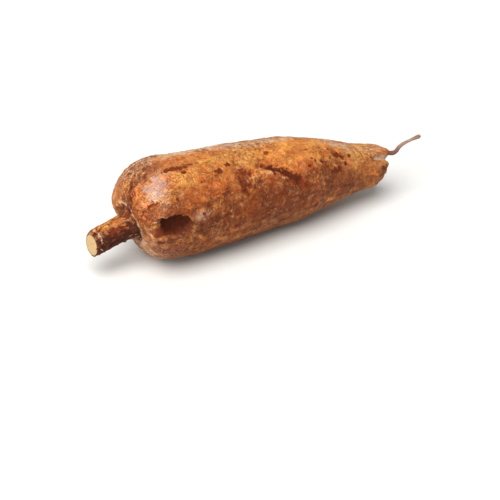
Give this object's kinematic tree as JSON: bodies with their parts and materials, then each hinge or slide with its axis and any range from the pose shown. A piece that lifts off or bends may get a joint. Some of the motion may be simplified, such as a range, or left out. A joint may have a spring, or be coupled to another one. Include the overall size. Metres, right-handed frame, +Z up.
{
  "type": "cassava root",
  "caption": "Whole waxed cassava root with a sawn woody neck, a swollen shoulder, a tapering body with a healed scar, and a split tip with its thin tail root.",
  "frame": {"origin": "middle of the bounding box, on the surface that the root lies on", "axes": "+X runs along the root from the sawn neck to the tail root, +Z is up, and the scarred flank faces -Y"},
  "size_m": [0.2912, 0.0823, 0.0794],
  "materials": {
    "cassava_bark": "thin papery brown bark under a satin coat of wax"
  },
  "bodies": {
    "root": {"cassava_root": "cassava_bark"}
  },
  "joints": []
}
